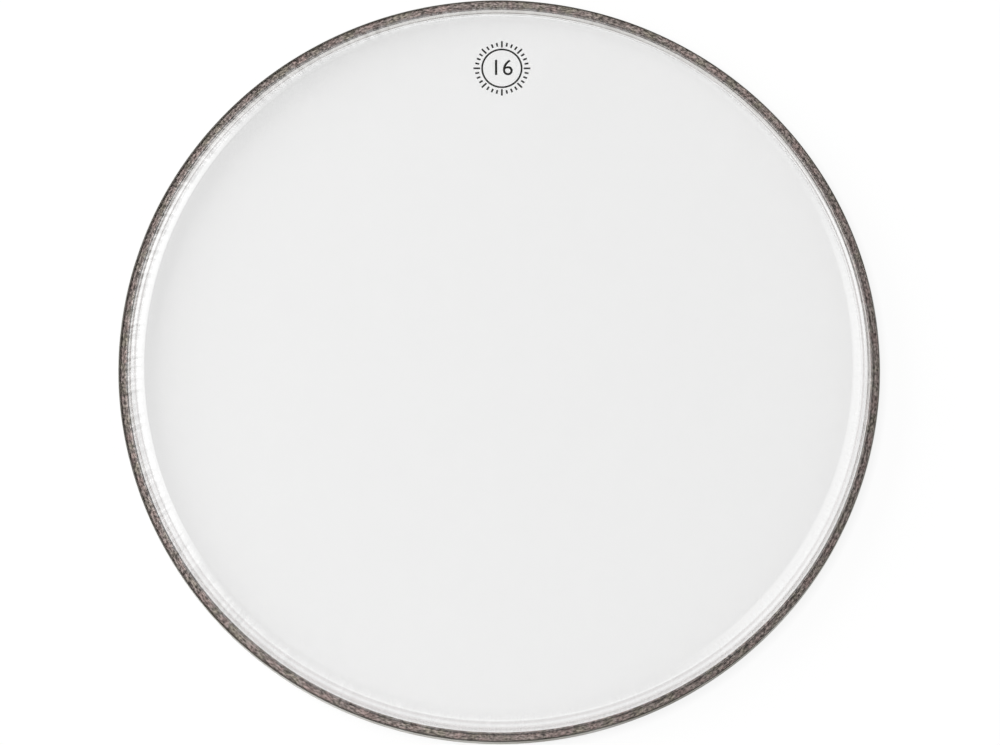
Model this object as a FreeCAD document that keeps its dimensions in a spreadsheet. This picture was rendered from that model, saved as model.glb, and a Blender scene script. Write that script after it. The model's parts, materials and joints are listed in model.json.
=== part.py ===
import FreeCAD, Part
import os

import Sketcher

# A two-ply clear drum head. Two plastic films, formed together with a stepped collar, are locked by
# a cast resin into an aluminium channel that is rolled into a hoop. Each film's skirt is punched with
# a row of slots, and the resin runs through them, so it cannot let go of the film.
#
# Frame: millimetres, +Z up, origin on the hoop's axis at its underside. The playing face is on top.

# Driving dimensions: name, value, meaning. Lengths are in millimetres and angles in degrees.
SIZES = [
    ("shell_diameter", 406.4, "outside of the drum shell that the head fits, 16 inches"),
    ("shell_clearance", 1.0, "radial room between the shell and the hoop"),
    ("hoop_width", 5.4, "radial width of the channel"),
    ("hoop_height", 9.0, "height of the channel's outer wall"),
    ("hoop_wall", 0.8, "wall and floor thickness of the channel"),
    ("inner_wall_drop", 0.5, "how far the inner wall's rim lies below the outer one"),
    ("corner_chamfer_share", 1.1, "chamfer of the channel's bottom corners, as a share of its wall"),
    ("joint_gap", 0.3, "width of the butt joint where the channel's ends meet"),
    ("joint_angle", 317.0, "place of the butt joint, about +Z from +X"),
    ("ply_thickness", 0.18, "thickness of each film"),
    ("ply_gap", 0.03, "air between the two films"),
    ("film_inset", 0.3, "resin between the channel's inner wall and the films"),
    ("skirt_foot", 1.2, "resin under the films' lower edges"),
    ("root_rise", 0.7, "height of the collar's root above the hoop"),
    ("lower_collar_angle", 54.0, "slope of the lower collar above the horizontal"),
    ("lower_collar_height", 6.0, "rise of the lower collar"),
    ("upper_collar_angle", 36.0, "slope of the upper collar above the horizontal"),
    ("upper_collar_height", 3.3, "rise of the upper collar"),
    ("shoulder_angle", 18.0, "slope of the shoulder, where the collar turns into the playing face"),
    ("shoulder_height", 0.7, "rise of the shoulder"),
    ("resin_recess", 0.3, "depth of the resin's surface below the inner rim"),
    ("lock_slot_length", 9.0, "length of the slots punched in the films' skirts"),
    ("lock_slot_height", 3.0, "height of those slots"),
    ("lock_slot_count", 36, "slots in each skirt"),
    ("overrun", 0.1, "reach of a cut or a lock peg past the faces it goes through"),
]

# Places that several pieces share, each worked out from the driving dimensions.
BORE_RADIUS = "(Sizes.shell_diameter / 2 + Sizes.shell_clearance)"
RIM_RADIUS = f"({BORE_RADIUS} + Sizes.hoop_width)"
CAVITY_INSIDE = f"({BORE_RADIUS} + Sizes.hoop_wall)"
CAVITY_OUTSIDE = f"({RIM_RADIUS} - Sizes.hoop_wall)"
INNER_RIM = "(Sizes.hoop_height - Sizes.inner_wall_drop)"
JOINT_TURN = f"(Sizes.joint_gap / {BORE_RADIUS} * 180 / pi)"
RESIN_TOP = f"({INNER_RIM} - Sizes.resin_recess)"
SKIRT_BOTTOM = "(Sizes.hoop_wall + Sizes.skirt_foot)"
SKIRT_INSIDE = f"({CAVITY_INSIDE} + Sizes.film_inset)"
PLY_PITCH = "(Sizes.ply_thickness + Sizes.ply_gap)"
SKIRT_OUTSIDE = f"({SKIRT_INSIDE} + {PLY_PITCH} + Sizes.ply_thickness)"
LOCK_BOTTOM = f"(({SKIRT_BOTTOM} + {RESIN_TOP} - Sizes.lock_slot_height) / 2)"
LOCK_START = f"(sqrt({SKIRT_INSIDE}^2 - (Sizes.lock_slot_length / 2)^2) - Sizes.overrun)"
LOCK_LENGTH = f"({SKIRT_OUTSIDE} + Sizes.overrun - {LOCK_START})"
ROOT_HEIGHT = "(Sizes.hoop_height + Sizes.root_rise)"
CREASE_HEIGHT = f"({ROOT_HEIGHT} + Sizes.lower_collar_height)"
SHOULDER_HEIGHT = f"({CREASE_HEIGHT} + Sizes.upper_collar_height)"
FACE_HEIGHT = f"({SHOULDER_HEIGHT} + Sizes.shoulder_height)"
CREASE_PLACE = f"({SKIRT_OUTSIDE} - Sizes.lower_collar_height / tan(Sizes.lower_collar_angle))"
SHOULDER_PLACE = f"({CREASE_PLACE} - Sizes.upper_collar_height / tan(Sizes.upper_collar_angle))"
FACE_PLACE = f"({SHOULDER_PLACE} - Sizes.shoulder_height / tan(Sizes.shoulder_angle))"

# The slopes of a film from its upright skirt to its level face, and the bends between them.
UPRIGHT = "90"
LEVEL = "0"
COLLAR_SLOPES = ["Sizes.lower_collar_angle", "Sizes.upper_collar_angle", "Sizes.shoulder_angle"]
SLOPES = [UPRIGHT] + COLLAR_SLOPES + [LEVEL]
BENDS = [
    (SKIRT_OUTSIDE, ROOT_HEIGHT),
    (CREASE_PLACE, CREASE_HEIGHT),
    (SHOULDER_PLACE, SHOULDER_HEIGHT),
    (FACE_PLACE, FACE_HEIGHT),
]

ZERO = "0"
FULL_TURN = "360"
SAME_PLACE = 1e-6

doc = FreeCAD.newDocument("drum_head")


def make_sheet():
    """The spreadsheet of driving dimensions."""
    sizes = doc.addObject("Spreadsheet::Sheet", "Sizes")
    for row, (name, size, meaning) in enumerate(SIZES, start=1):
        sizes.set(f"A{row}", meaning)
        sizes.set(f"B{row}", str(size))
        sizes.setAlias(f"B{row}", name)
    doc.recompute()
    return sizes


sheet = make_sheet()


def number(expression):
    """What an expression of the driving dimensions comes to."""
    return float(sheet.evalExpression(expression))


def new_body(label):
    body = doc.addObject("PartDesign::Body", label)
    body.Label = label
    return body


def origin_part(body, role):
    """One of a body's own origin planes or axes."""
    return next(part for part in body.Origin.OriginFeatures if part.Role == role)


def new_sketch(body, name, plane):
    sketch = body.newObject("Sketcher::SketchObject", name)
    sketch.AttachmentSupport = [(origin_part(body, plane), "")]
    sketch.MapMode = "FlatFace"
    return sketch


def bind(sketch, kind, *where, to):
    """Adds a dimension to a sketch and ties it to an expression."""
    index = sketch.addConstraint(Sketcher.Constraint(kind, *where, number(to)))
    sketch.setExpression(f"Constraints[{index}]", to)


def close_outline(sketch, points):
    """Draws straight lines from point to point and back to the first, joined at their ends."""
    count = len(points)
    for line in range(count):
        sketch.addGeometry(Part.LineSegment(points[line], points[(line + 1) % count]))
    for line in range(count):
        sketch.addConstraint(Sketcher.Constraint("Coincident", line, 2, (line + 1) % count, 1))


def draw_section(body, name, corners):
    """A closed half section in the XZ plane. Each corner is a radius and a height, as expressions."""
    sketch = new_sketch(body, name, "XZ_Plane")
    points = [FreeCAD.Vector(number(radius), number(height), 0) for radius, height in corners]
    close_outline(sketch, points)
    count = len(corners)
    for line, (radius, height) in enumerate(corners):
        last_radius, last_height = corners[line - 1]
        if radius == last_radius:
            sketch.addConstraint(Sketcher.Constraint("Vertical", (line - 1) % count))
        elif radius == ZERO:
            sketch.addConstraint(Sketcher.Constraint("PointOnObject", line, 1, -2))
        else:
            bind(sketch, "DistanceX", -1, 1, line, 1, to=radius)
        if height == last_height:
            sketch.addConstraint(Sketcher.Constraint("Horizontal", (line - 1) % count))
        elif height == ZERO:
            sketch.addConstraint(Sketcher.Constraint("PointOnObject", line, 1, -1))
        else:
            bind(sketch, "DistanceY", -1, 1, line, 1, to=height)
    return sketch


def draw_lock_slot(body, name):
    """The outline of one lock slot, square to the +X radius and just inside the films' skirts."""
    sketch = new_sketch(body, name, "YZ_Plane")
    sketch.setExpression("AttachmentOffset.Base.z", LOCK_START)
    half = number("Sizes.lock_slot_length / 2")
    low = number(LOCK_BOTTOM)
    high = low + number("Sizes.lock_slot_height")
    ends = [(-half, low), (half, low), (half, high), (-half, high)]
    points = [FreeCAD.Vector(across, up, 0) for across, up in ends]
    close_outline(sketch, points)
    sketch.addConstraint(Sketcher.Constraint("Vertical", 1))
    sketch.addConstraint(Sketcher.Constraint("Vertical", 3))
    sketch.addConstraint(Sketcher.Constraint("Horizontal", 2))
    sketch.addConstraint(Sketcher.Constraint("Symmetric", 0, 1, 0, 2, -2))
    bind(sketch, "DistanceX", 0, 1, 0, 2, to="Sizes.lock_slot_length")
    bind(sketch, "DistanceY", -1, 1, 0, 1, to=LOCK_BOTTOM)
    bind(sketch, "DistanceY", 1, 1, 1, 2, to="Sizes.lock_slot_height")
    return sketch


def turn(body, kind, name, sketch, angle):
    """Turns a section about the body's axis."""
    feature = body.newObject(f"PartDesign::{kind}", name)
    feature.Profile = sketch
    feature.ReferenceAxis = (sketch, ["V_Axis"])
    feature.setExpression("Angle", angle)
    doc.recompute()
    return feature


def check_cut(feature, base):
    """Stops if a cut took nothing away."""
    if feature.Shape.Volume >= base.Shape.Volume:
        raise RuntimeError(f"{feature.Label} cuts nothing")


def cut_round(body, name, sketch):
    """Cuts a section out all the way round the body's axis."""
    base = body.Tip
    check_cut(turn(body, "Groove", name, sketch, FULL_TURN), base)


def ring_edges(feature, corners):
    """The names of the circular edges that run round the axis at these corners of the section."""
    names = []
    for radius, height in corners:
        for index, edge in enumerate(feature.Shape.Edges, start=1):
            if isinstance(edge.Curve, Part.Circle):
                off_radius = abs(edge.Curve.Radius - number(radius))
                off_height = abs(edge.Curve.Center.z - number(height))
                if max(off_radius, off_height) < SAME_PLACE:
                    names.append(f"Edge{index}")
    return names


def bevel_corners(body, name, corners, size):
    """Bevels the ring edges at these corners of the section."""
    base = body.Tip
    bevel = body.newObject("PartDesign::Chamfer", name)
    bevel.Base = (base, ring_edges(base, corners))
    bevel.setExpression("Size", size)
    doc.recompute()


def repeat_round(body, name, feature):
    """Repeats a lock slot or peg evenly about the body's axis."""
    pattern = body.newObject("PartDesign::PolarPattern", name)
    pattern.Originals = [feature]
    pattern.Axis = (origin_part(body, "Z_Axis"), [""])
    pattern.setExpression("Angle", FULL_TURN)
    pattern.setExpression("Occurrences", "Sizes.lock_slot_count")
    body.Tip = pattern
    doc.recompute()
    return pattern


def make_flesh_hoop():
    """The channel, open at the top, rolled round the axis until its ends meet at the butt joint."""
    body = new_body("flesh_hoop")
    foot_inside = (BORE_RADIUS, ZERO)
    foot_outside = (RIM_RADIUS, ZERO)
    rim_outside = (RIM_RADIUS, "Sizes.hoop_height")
    rim_inside = (CAVITY_OUTSIDE, "Sizes.hoop_height")
    floor_outside = (CAVITY_OUTSIDE, "Sizes.hoop_wall")
    floor_inside = (CAVITY_INSIDE, "Sizes.hoop_wall")
    lip_outside = (CAVITY_INSIDE, INNER_RIM)
    lip_inside = (BORE_RADIUS, INNER_RIM)
    outer_wall = [foot_outside, rim_outside, rim_inside, floor_outside]
    inner_wall = [floor_inside, lip_outside, lip_inside, foot_inside]
    section = draw_section(body, "channel_section", outer_wall + inner_wall)
    turn(body, "Revolution", "rolled_channel", section, f"{FULL_TURN} - {JOINT_TURN}")
    corner_chamfer = "Sizes.hoop_wall * Sizes.corner_chamfer_share"
    bevel_corners(body, "bottom_corners", [foot_inside, foot_outside], corner_chamfer)
    body.setExpression("Placement.Rotation.Angle", f"Sizes.joint_angle + {JOINT_TURN} / 2")
    return body


def bend_shares(below, above):
    """How far a bend between two slopes moves in, and down, for each millimetre that a film lies deeper.

    With these the second film runs parallel to the first.
    """
    spread = f"(1 + cos({below} - {above}))"
    in_share = f"((sin({below}) + sin({above})) / {spread})"
    down_share = f"((cos({below}) + cos({above})) / {spread})"
    return in_share, down_share


def film_surface(depth):
    """The corners of a film's surface from its foot to the axis, at a depth below the playing face."""
    bends = []
    for (place, height), below, above in zip(BENDS, SLOPES, SLOPES[1:]):
        in_share, down_share = bend_shares(below, above)
        bends.append((f"{place} - {depth} * {in_share}", f"{height} - {depth} * {down_share}"))
    skirt_place = bends[0][0]
    face_height = bends[-1][1]
    return [(skirt_place, SKIRT_BOTTOM)] + bends + [(ZERO, face_height)]


def make_ply(label, depth):
    """A film: a shallow cup with a stepped collar and a punched skirt, nested at a depth in the pair."""
    body = new_body(label)
    upper_side = film_surface(depth)
    under_side = film_surface(f"({depth} + Sizes.ply_thickness)")
    section = draw_section(body, f"{label}_section", upper_side + under_side[::-1])
    film = turn(body, "Revolution", f"{label}_cup", section, FULL_TURN)

    punch = body.newObject("PartDesign::Pocket", f"{label}_punch")
    punch.Profile = draw_lock_slot(body, f"{label}_lock_slot")
    punch.Reversed = True
    punch.setExpression("Length", LOCK_LENGTH)
    doc.recompute()
    check_cut(punch, film)
    repeat_round(body, f"{label}_lock_slots", punch)
    body.setExpression("Placement.Rotation.Angle", "Sizes.joint_angle")
    return body


def make_resin_lock():
    """The resin cast into the channel: a groove holds both skirts, and pegs run through their slots."""
    body = new_body("resin_lock")
    floor_inside = (CAVITY_INSIDE, "Sizes.hoop_wall")
    floor_outside = (CAVITY_OUTSIDE, "Sizes.hoop_wall")
    fill = [floor_inside, floor_outside, (CAVITY_OUTSIDE, RESIN_TOP), (CAVITY_INSIDE, RESIN_TOP)]
    turn(body, "Revolution", "resin_fill", draw_section(body, "fill_section", fill), FULL_TURN)
    groove_top = f"{RESIN_TOP} + Sizes.overrun"
    groove_floor = [(SKIRT_INSIDE, SKIRT_BOTTOM), (SKIRT_OUTSIDE, SKIRT_BOTTOM)]
    groove = groove_floor + [(SKIRT_OUTSIDE, groove_top), (SKIRT_INSIDE, groove_top)]
    cut_round(body, "skirt_groove", draw_section(body, "groove_section", groove))

    peg = body.newObject("PartDesign::Pad", "lock_peg")
    peg.Profile = draw_lock_slot(body, "peg_section")
    peg.setExpression("Length", LOCK_LENGTH)
    doc.recompute()
    repeat_round(body, "lock_pegs", peg)
    body.setExpression("Placement.Rotation.Angle", "Sizes.joint_angle")
    return body


def check_pieces(pieces):
    """Stops if anything in the document failed, or if a piece is not one sound solid."""
    for item in doc.Objects:
        if "Invalid" in item.State or "Error" in item.State:
            raise RuntimeError(f"{item.Label} failed: {item.State}")
    for piece in pieces:
        shape = piece.Shape
        if shape.isNull() or not shape.isValid() or len(shape.Solids) != 1:
            raise RuntimeError(f"{piece.Label} is not one valid solid")


def write_pieces(pieces):
    """One file for each piece, named by its label."""
    os.makedirs("parts", exist_ok=True)
    for piece in pieces:
        piece.Shape.exportStep(f"parts/{piece.Label}.step")
        print(f"{piece.Label}: {piece.Shape.Volume:.0f} cubic mm")


head_pieces = [
    make_flesh_hoop(),
    make_resin_lock(),
    make_ply("batter_ply", ZERO),
    make_ply("under_ply", PLY_PITCH),
]
doc.recompute()
check_pieces(head_pieces)
write_pieces(head_pieces)
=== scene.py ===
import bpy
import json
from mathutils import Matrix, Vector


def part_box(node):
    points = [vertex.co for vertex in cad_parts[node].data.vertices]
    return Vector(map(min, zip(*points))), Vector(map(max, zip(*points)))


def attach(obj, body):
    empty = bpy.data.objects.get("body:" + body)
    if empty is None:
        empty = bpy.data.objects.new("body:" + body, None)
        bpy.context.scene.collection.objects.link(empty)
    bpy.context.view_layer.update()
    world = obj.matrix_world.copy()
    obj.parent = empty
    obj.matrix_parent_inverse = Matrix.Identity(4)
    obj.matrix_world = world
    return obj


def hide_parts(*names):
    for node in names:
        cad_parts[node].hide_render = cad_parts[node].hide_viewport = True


bl_info = {
    "name": "Clear drum head",
    "version": (1, 0, 0),
    "blender": (4, 5, 0),
    "location": "View3D > Sidebar > Drum head",
    "description": "Builds a two-ply clear drum head with its channel hoop, resin lock and printed size dial",
    "category": "Object",
}

import json
import math

import bmesh
import bpy
from bpy.props import FloatProperty, FloatVectorProperty, IntProperty, PointerProperty, StringProperty
from mathutils import Matrix, Vector

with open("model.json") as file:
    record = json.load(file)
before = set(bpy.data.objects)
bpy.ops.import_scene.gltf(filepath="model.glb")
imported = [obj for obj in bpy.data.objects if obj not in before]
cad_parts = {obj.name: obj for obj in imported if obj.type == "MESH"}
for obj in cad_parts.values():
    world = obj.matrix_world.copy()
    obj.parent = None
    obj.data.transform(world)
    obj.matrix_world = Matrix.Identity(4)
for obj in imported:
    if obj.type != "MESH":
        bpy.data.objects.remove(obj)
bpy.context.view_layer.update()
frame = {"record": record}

MM = 0.001
WHITE = (1, 1, 1, 1)
BODY = "root"

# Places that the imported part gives.
MOUNTS = {mount["name"]: mount for mount in frame["record"]["mounts"]}
BORE_RADIUS = MOUNTS["shell_bore"]["dims"]["r_mm"] * MM
RIM_MIDDLE = MOUNTS["rim_seat"]["pos_m"][0]
HOOP_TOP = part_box("flesh_hoop")[1].z
FACE_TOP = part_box("batter_ply")[1].z
SKIRT_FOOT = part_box("batter_ply")[0].z
RESIN_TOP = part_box("resin_lock")[1].z

# How rounds are drawn.
ARC_STEP = math.radians(7.0)
ARC_LEAST_STEPS = 2
IN_PLANE = 2
SAME_POINT = 0.001 * MM
SHARP_ANGLE = math.radians(40.0)
FULL_TURN = 2 * math.pi

# What settings of one kind share.
LENGTH = {"unit": "LENGTH"}
ANGLE = {"subtype": "ANGLE", "unit": "ROTATION"}
COLOUR = {"size": 3, "min": 0, "max": 1, "subtype": "COLOR"}
SHARE = {"min": 0, "max": 1, "subtype": "FACTOR"}
POWER = {"min": 0, "unit": "POWER"}


def linear(hex_colour):
    """An sRGB hex colour as linear red, green and blue."""
    shares = [int(hex_colour[place:place + 2], 16) / 255 for place in (1, 3, 5)]
    return tuple(share / 12.92 if share <= 0.04045 else ((share + 0.055) / 1.055) ** 2.4 for share in shares)


class HoopSettings(bpy.types.PropertyGroup):
    """The aluminium channel that is rolled into the hoop"""
    wall: FloatProperty(
        name="Wall", description="Thickness of the channel's walls and floor", default=0.8 * MM, **LENGTH)
    inner_drop: FloatProperty(
        name="Inner drop", description="How far the inner rim lies below the outer one",
        default=0.5 * MM, **LENGTH)
    corner_radius: FloatProperty(
        name="Corner radius", description="Rounding of the channel's bottom corners",
        default=1.0 * MM, **LENGTH)
    fold_radius: FloatProperty(
        name="Fold radius", description="Rounding of the channel's inside corners",
        default=0.3 * MM, **LENGTH)
    edge_radius: FloatProperty(
        name="Edge radius", description="Rounding of each rim on the side that faces away from the resin",
        default=0.55 * MM, **LENGTH)
    joint_angle: FloatProperty(
        name="Joint angle", description="Place of the butt joint about +Z, from +X",
        default=math.radians(317.0), **ANGLE)
    joint_gap: FloatProperty(
        name="Joint gap", description="Width of the butt joint", default=0.3 * MM, **LENGTH)
    segments: IntProperty(name="Segments", description="Steps round the hoop", default=720, min=48)
    bright: FloatVectorProperty(
        name="Bright metal", description="Aluminium where the rollers polished it",
        default=linear("#CDCBC6"), **COLOUR)
    dull: FloatVectorProperty(
        name="Dull metal", description="Aluminium with its grey mill skin",
        default=linear("#9C988F"), **COLOUR)


class ResinSettings(bpy.types.PropertyGroup):
    """The resin that is cast into the channel"""
    crown: FloatProperty(
        name="Crown", description="How far the resin stands up in the middle of the channel",
        default=0.35 * MM, **LENGTH)
    wall_meniscus: FloatProperty(
        name="Wall meniscus", description="How far the resin climbs the channel's walls",
        default=0.3 * MM, **LENGTH)
    film_meniscus: FloatProperty(
        name="Film meniscus", description="How far the resin climbs the film", default=0.4 * MM, **LENGTH)
    meniscus_reach: FloatProperty(
        name="Meniscus reach", description="Distance over which the climb dies away",
        default=0.4 * MM, **LENGTH)
    clearance: FloatProperty(
        name="Clearance", description="Room between the resin and the pieces that it holds",
        default=0.01 * MM, **LENGTH)
    grain_height: FloatProperty(
        name="Grain height", description="Height of the grains on the resin's surface",
        default=0.12 * MM, **LENGTH)
    grain_size: FloatProperty(
        name="Grain size", description="Width of those grains", default=0.8 * MM, **LENGTH)
    segments: IntProperty(name="Segments", description="Steps round the resin", default=1800, min=48)
    run_start: FloatProperty(
        name="Run start", description="Where the resin starts to cover the inner rim, past its bare stretch",
        default=math.radians(348.0), **ANGLE)
    run_length: FloatProperty(
        name="Run length", description="Angle over which the resin covers the inner rim",
        default=math.radians(333.5), **ANGLE)
    run_height: FloatProperty(
        name="Run height", description="Thickness of the resin on the inner rim", default=0.2 * MM, **LENGTH)
    run_segments: IntProperty(name="Run segments", description="Steps along the run", default=1800, min=8)
    seed: IntProperty(name="Seed", description="Fixes the pattern of the grains", default=7)
    grey: FloatVectorProperty(
        name="Grey grain", description="Most of the filler grains", default=linear("#A69A95"), **COLOUR)
    olive: FloatVectorProperty(
        name="Olive grain", description="Patches of greenish grains", default=linear("#A29A8E"), **COLOUR)
    russet: FloatVectorProperty(
        name="Russet grain", description="Patches of reddish grains", default=linear("#AA9893"), **COLOUR)


class FilmSettings(bpy.types.PropertyGroup):
    """The two clear films"""
    thickness: FloatProperty(
        name="Thickness", description="Thickness of each film", default=0.18 * MM, **LENGTH)
    gap: FloatProperty(name="Gap", description="Air between the films", default=0.03 * MM, **LENGTH)
    inset: FloatProperty(
        name="Inset", description="Resin between the inner wall and the films", default=0.3 * MM, **LENGTH)
    root_rise: FloatProperty(
        name="Root rise", description="Height of the collar's root above the hoop",
        default=0.1 * MM, **LENGTH)
    ledge_angle: FloatProperty(
        name="Ledge angle", description="Slope of the film where it passes over the inner rim",
        default=math.radians(15.0), **ANGLE)
    ledge_height: FloatProperty(
        name="Ledge height", description="Rise of that ledge", default=0.4 * MM, **LENGTH)
    wall_angle: FloatProperty(
        name="Wall angle", description="Slope of the collar's steep wall",
        default=math.radians(66.0), **ANGLE)
    wall_height: FloatProperty(
        name="Wall height", description="Rise of that wall", default=3.7 * MM, **LENGTH)
    lower_angle: FloatProperty(
        name="Lower angle", description="Slope of the collar below the crease",
        default=math.radians(42.0), **ANGLE)
    lower_height: FloatProperty(
        name="Lower height", description="Rise of the collar below the crease", default=2.3 * MM, **LENGTH)
    step_angle: FloatProperty(
        name="Step angle", description="Slope of the narrow step at the crease",
        default=math.radians(18.0), **ANGLE)
    step_height: FloatProperty(
        name="Step height", description="Rise of that step", default=0.3 * MM, **LENGTH)
    riser_angle: FloatProperty(
        name="Riser angle", description="Slope of the riser above the step",
        default=math.radians(52.0), **ANGLE)
    riser_height: FloatProperty(
        name="Riser height", description="Rise of that riser", default=0.6 * MM, **LENGTH)
    upper_angle: FloatProperty(
        name="Upper angle", description="Slope of the upper collar", default=math.radians(35.0), **ANGLE)
    root_bend: FloatProperty(
        name="Root bend", description="Bend radius where the skirt turns into the collar",
        default=0.9 * MM, **LENGTH)
    wall_bend: FloatProperty(
        name="Wall bend", description="Bend radius at the top of the steep wall", default=1.8 * MM, **LENGTH)
    crease_bend: FloatProperty(
        name="Crease bend", description="Bend radius of the step's edges and of the steep wall's foot",
        default=0.6 * MM, **LENGTH)
    shoulder_bend: FloatProperty(
        name="Shoulder bend", description="Bend radius where the collar turns into the playing face",
        default=5.0 * MM, **LENGTH)
    segments: IntProperty(name="Segments", description="Steps round each film", default=512, min=48)
    tint: FloatVectorProperty(
        name="Film tint", description="What the film does to white light",
        default=linear("#FFFFFF"), **COLOUR)
    # Painted shade: a grey tint for the film along two of its bends, standing in for the dark lines that
    # those bends show.
    mark: FloatVectorProperty(
        name="Tool mark", description="What the film does to white light where the forming die rubbed it",
        default=linear("#F8F7F7"), **COLOUR)


class DialSettings(bpy.types.PropertyGroup):
    """The printed dial with the head's size in inches"""
    number: StringProperty(name="Number", description="Size of the head in inches", default="16")
    number_size: FloatProperty(
        name="Number size", description="Height of the number's type", default=13.0 * MM, **LENGTH)
    radius: FloatProperty(
        name="Ring radius", description="Middle of the ring's line", default=11.0 * MM, **LENGTH)
    line: FloatProperty(
        name="Line", description="Width of the printed lines", default=1.0 * MM, **LENGTH)
    tick_radius: FloatProperty(
        name="Tick radius", description="Middle of the ticks", default=14.0 * MM, **LENGTH)
    tick_length: FloatProperty(
        name="Tick length", description="Length of a tick", default=2.2 * MM, **LENGTH)
    tick_count: IntProperty(name="Ticks", description="Ticks round the dial", default=32, min=4)
    ink_height: FloatProperty(
        name="Ink height", description="Thickness of the printed ink", default=0.02 * MM, **LENGTH)
    place: FloatVectorProperty(
        name="Place", description="Middle of the dial on the playing face",
        default=(1.5 * MM, 166.0 * MM), size=2, subtype="XYZ", **LENGTH)
    ink: FloatVectorProperty(
        name="Ink", description="Black screen ink where it lies thick", default=linear("#161514"), **COLOUR)
    thin_ink: FloatVectorProperty(
        name="Thin ink", description="The same ink where it lies thin", default=linear("#3A3837"), **COLOUR)


class StageSettings(bpy.types.PropertyGroup):
    """Floor, light and camera"""
    floor_size: FloatProperty(
        name="Floor size", description="Side of the paper floor", default=60.0, **LENGTH)
    floor_gap: FloatProperty(
        name="Floor gap", description="Room between the hoop and the floor", default=0.02 * MM, **LENGTH)
    paper: FloatVectorProperty(
        name="Paper", description="White background paper", default=linear("#F4F4F3"), **COLOUR)
    glow_share: FloatProperty(
        name="Glow share", description="Share of the floor's white that does not depend on the lamps",
        default=0.8, **SHARE)
    outer_glow_share: FloatProperty(
        name="Outer glow share", description="The same share outside the hoop, where the floor stays white",
        default=0.96, **SHARE)
    glow_edge: FloatProperty(
        name="Glow edge", description="Distance over which one share turns into the other",
        default=6.0 * MM, **LENGTH)
    contact_reach: FloatProperty(
        name="Contact reach", description="How far from the hoop reflections show the floor's shadow",
        default=25.0 * MM, **LENGTH)
    ceiling: FloatProperty(
        name="Ceiling", description="Brightness of the dim room overhead", default=0.04, min=0)
    walls: FloatProperty(
        name="Walls", description="Brightness that the walls add near the floor", default=0.3, min=0)
    panel: FloatProperty(
        name="Panel", description="Brightness that a panel adds above the left side", default=0.15, min=0)
    reflector: FloatProperty(
        name="Reflector", description="Brightness that a large white board adds at the right",
        default=0.55, min=0)
    key_board: FloatProperty(
        name="Key board", description="Brightness of the left lamp's soft front, as reflections show it",
        default=1.1, min=0)
    key_power: FloatProperty(
        name="Key power", description="Power of the lamp at the left", default=865.0, **POWER)
    key_azimuth: FloatProperty(
        name="Key azimuth", description="Direction of that lamp about +Z, from +X",
        default=math.radians(165.0), **ANGLE)
    fill_power: FloatProperty(
        name="Fill power", description="Power of the lamp at the right", default=230.0, **POWER)
    fill_azimuth: FloatProperty(
        name="Fill azimuth", description="Direction of that lamp about +Z, from +X",
        default=math.radians(335.0), **ANGLE)
    lamp_elevation: FloatProperty(
        name="Lamp elevation", description="Height of both lamps above the floor, as an angle",
        default=math.radians(20.0), **ANGLE)
    lamp_distance: FloatProperty(
        name="Lamp distance", description="Distance of both lamps", default=5.0, **LENGTH)
    lamp_size: FloatVectorProperty(
        name="Lamp size", description="Width and height of both lamps", default=(7.0, 2.2), size=2, **LENGTH)
    lens: FloatProperty(
        name="Lens", description="Focal length in millimetres", default=135.0, min=10, unit="CAMERA")
    camera_distance: FloatProperty(
        name="Camera distance", description="From the lens to the aim", default=2.0624, **LENGTH)
    camera_elevation: FloatProperty(
        name="Camera elevation", description="Angle of the view above the floor",
        default=math.radians(77.033), **ANGLE)
    aim: FloatVectorProperty(
        name="Aim", description="Point at the middle of the picture",
        default=(0.45 * MM, -5.54 * MM, HOOP_TOP), size=3, subtype="XYZ", **LENGTH)


class DrumHeadSettings(bpy.types.PropertyGroup):
    """All that can be changed on the drum head"""
    hoop: PointerProperty(type=HoopSettings, name="Hoop", description="The channel hoop")
    resin: PointerProperty(type=ResinSettings, name="Resin", description="The resin lock")
    film: PointerProperty(type=FilmSettings, name="Films", description="The two clear films")
    dial: PointerProperty(type=DialSettings, name="Dial", description="The printed size dial")
    stage: PointerProperty(type=StageSettings, name="Stage", description="Floor, light and camera")


def add_node(tree, kind, inputs=None, **settings):
    """Adds a node. Settings are its own properties. Inputs map its sockets to values, to other sockets, or to
    other nodes, of which the first output is taken."""
    node = tree.nodes.new(kind)
    for name, value in settings.items():
        setattr(node, name, value)
    for socket, value in (inputs or {}).items():
        source = value.outputs[0] if isinstance(value, bpy.types.Node) else value
        if isinstance(source, bpy.types.NodeSocket):
            tree.links.new(source, node.inputs[socket])
        else:
            node.inputs[socket].default_value = source
    return node


def new_material(name):
    """An empty node material and its tree."""
    material = bpy.data.materials.new(name)
    material.use_nodes = True
    material.node_tree.nodes.clear()
    return material, material.node_tree


def round_the_axis(tree):
    """Sockets for the direction from the hoop's axis, the distance from it and the height above the floor."""
    place = add_node(tree, "ShaderNodeTexCoord").outputs["Object"]
    parts = add_node(tree, "ShaderNodeSeparateXYZ", {"Vector": place}).outputs
    level = add_node(tree, "ShaderNodeCombineXYZ", {"X": parts["X"], "Y": parts["Y"]})
    distance = add_node(tree, "ShaderNodeVectorMath", {0: level}, operation="LENGTH").outputs["Value"]
    direction = add_node(tree, "ShaderNodeVectorMath", {0: level}, operation="NORMALIZE").outputs["Vector"]
    return direction, distance, parts["Z"]


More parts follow.
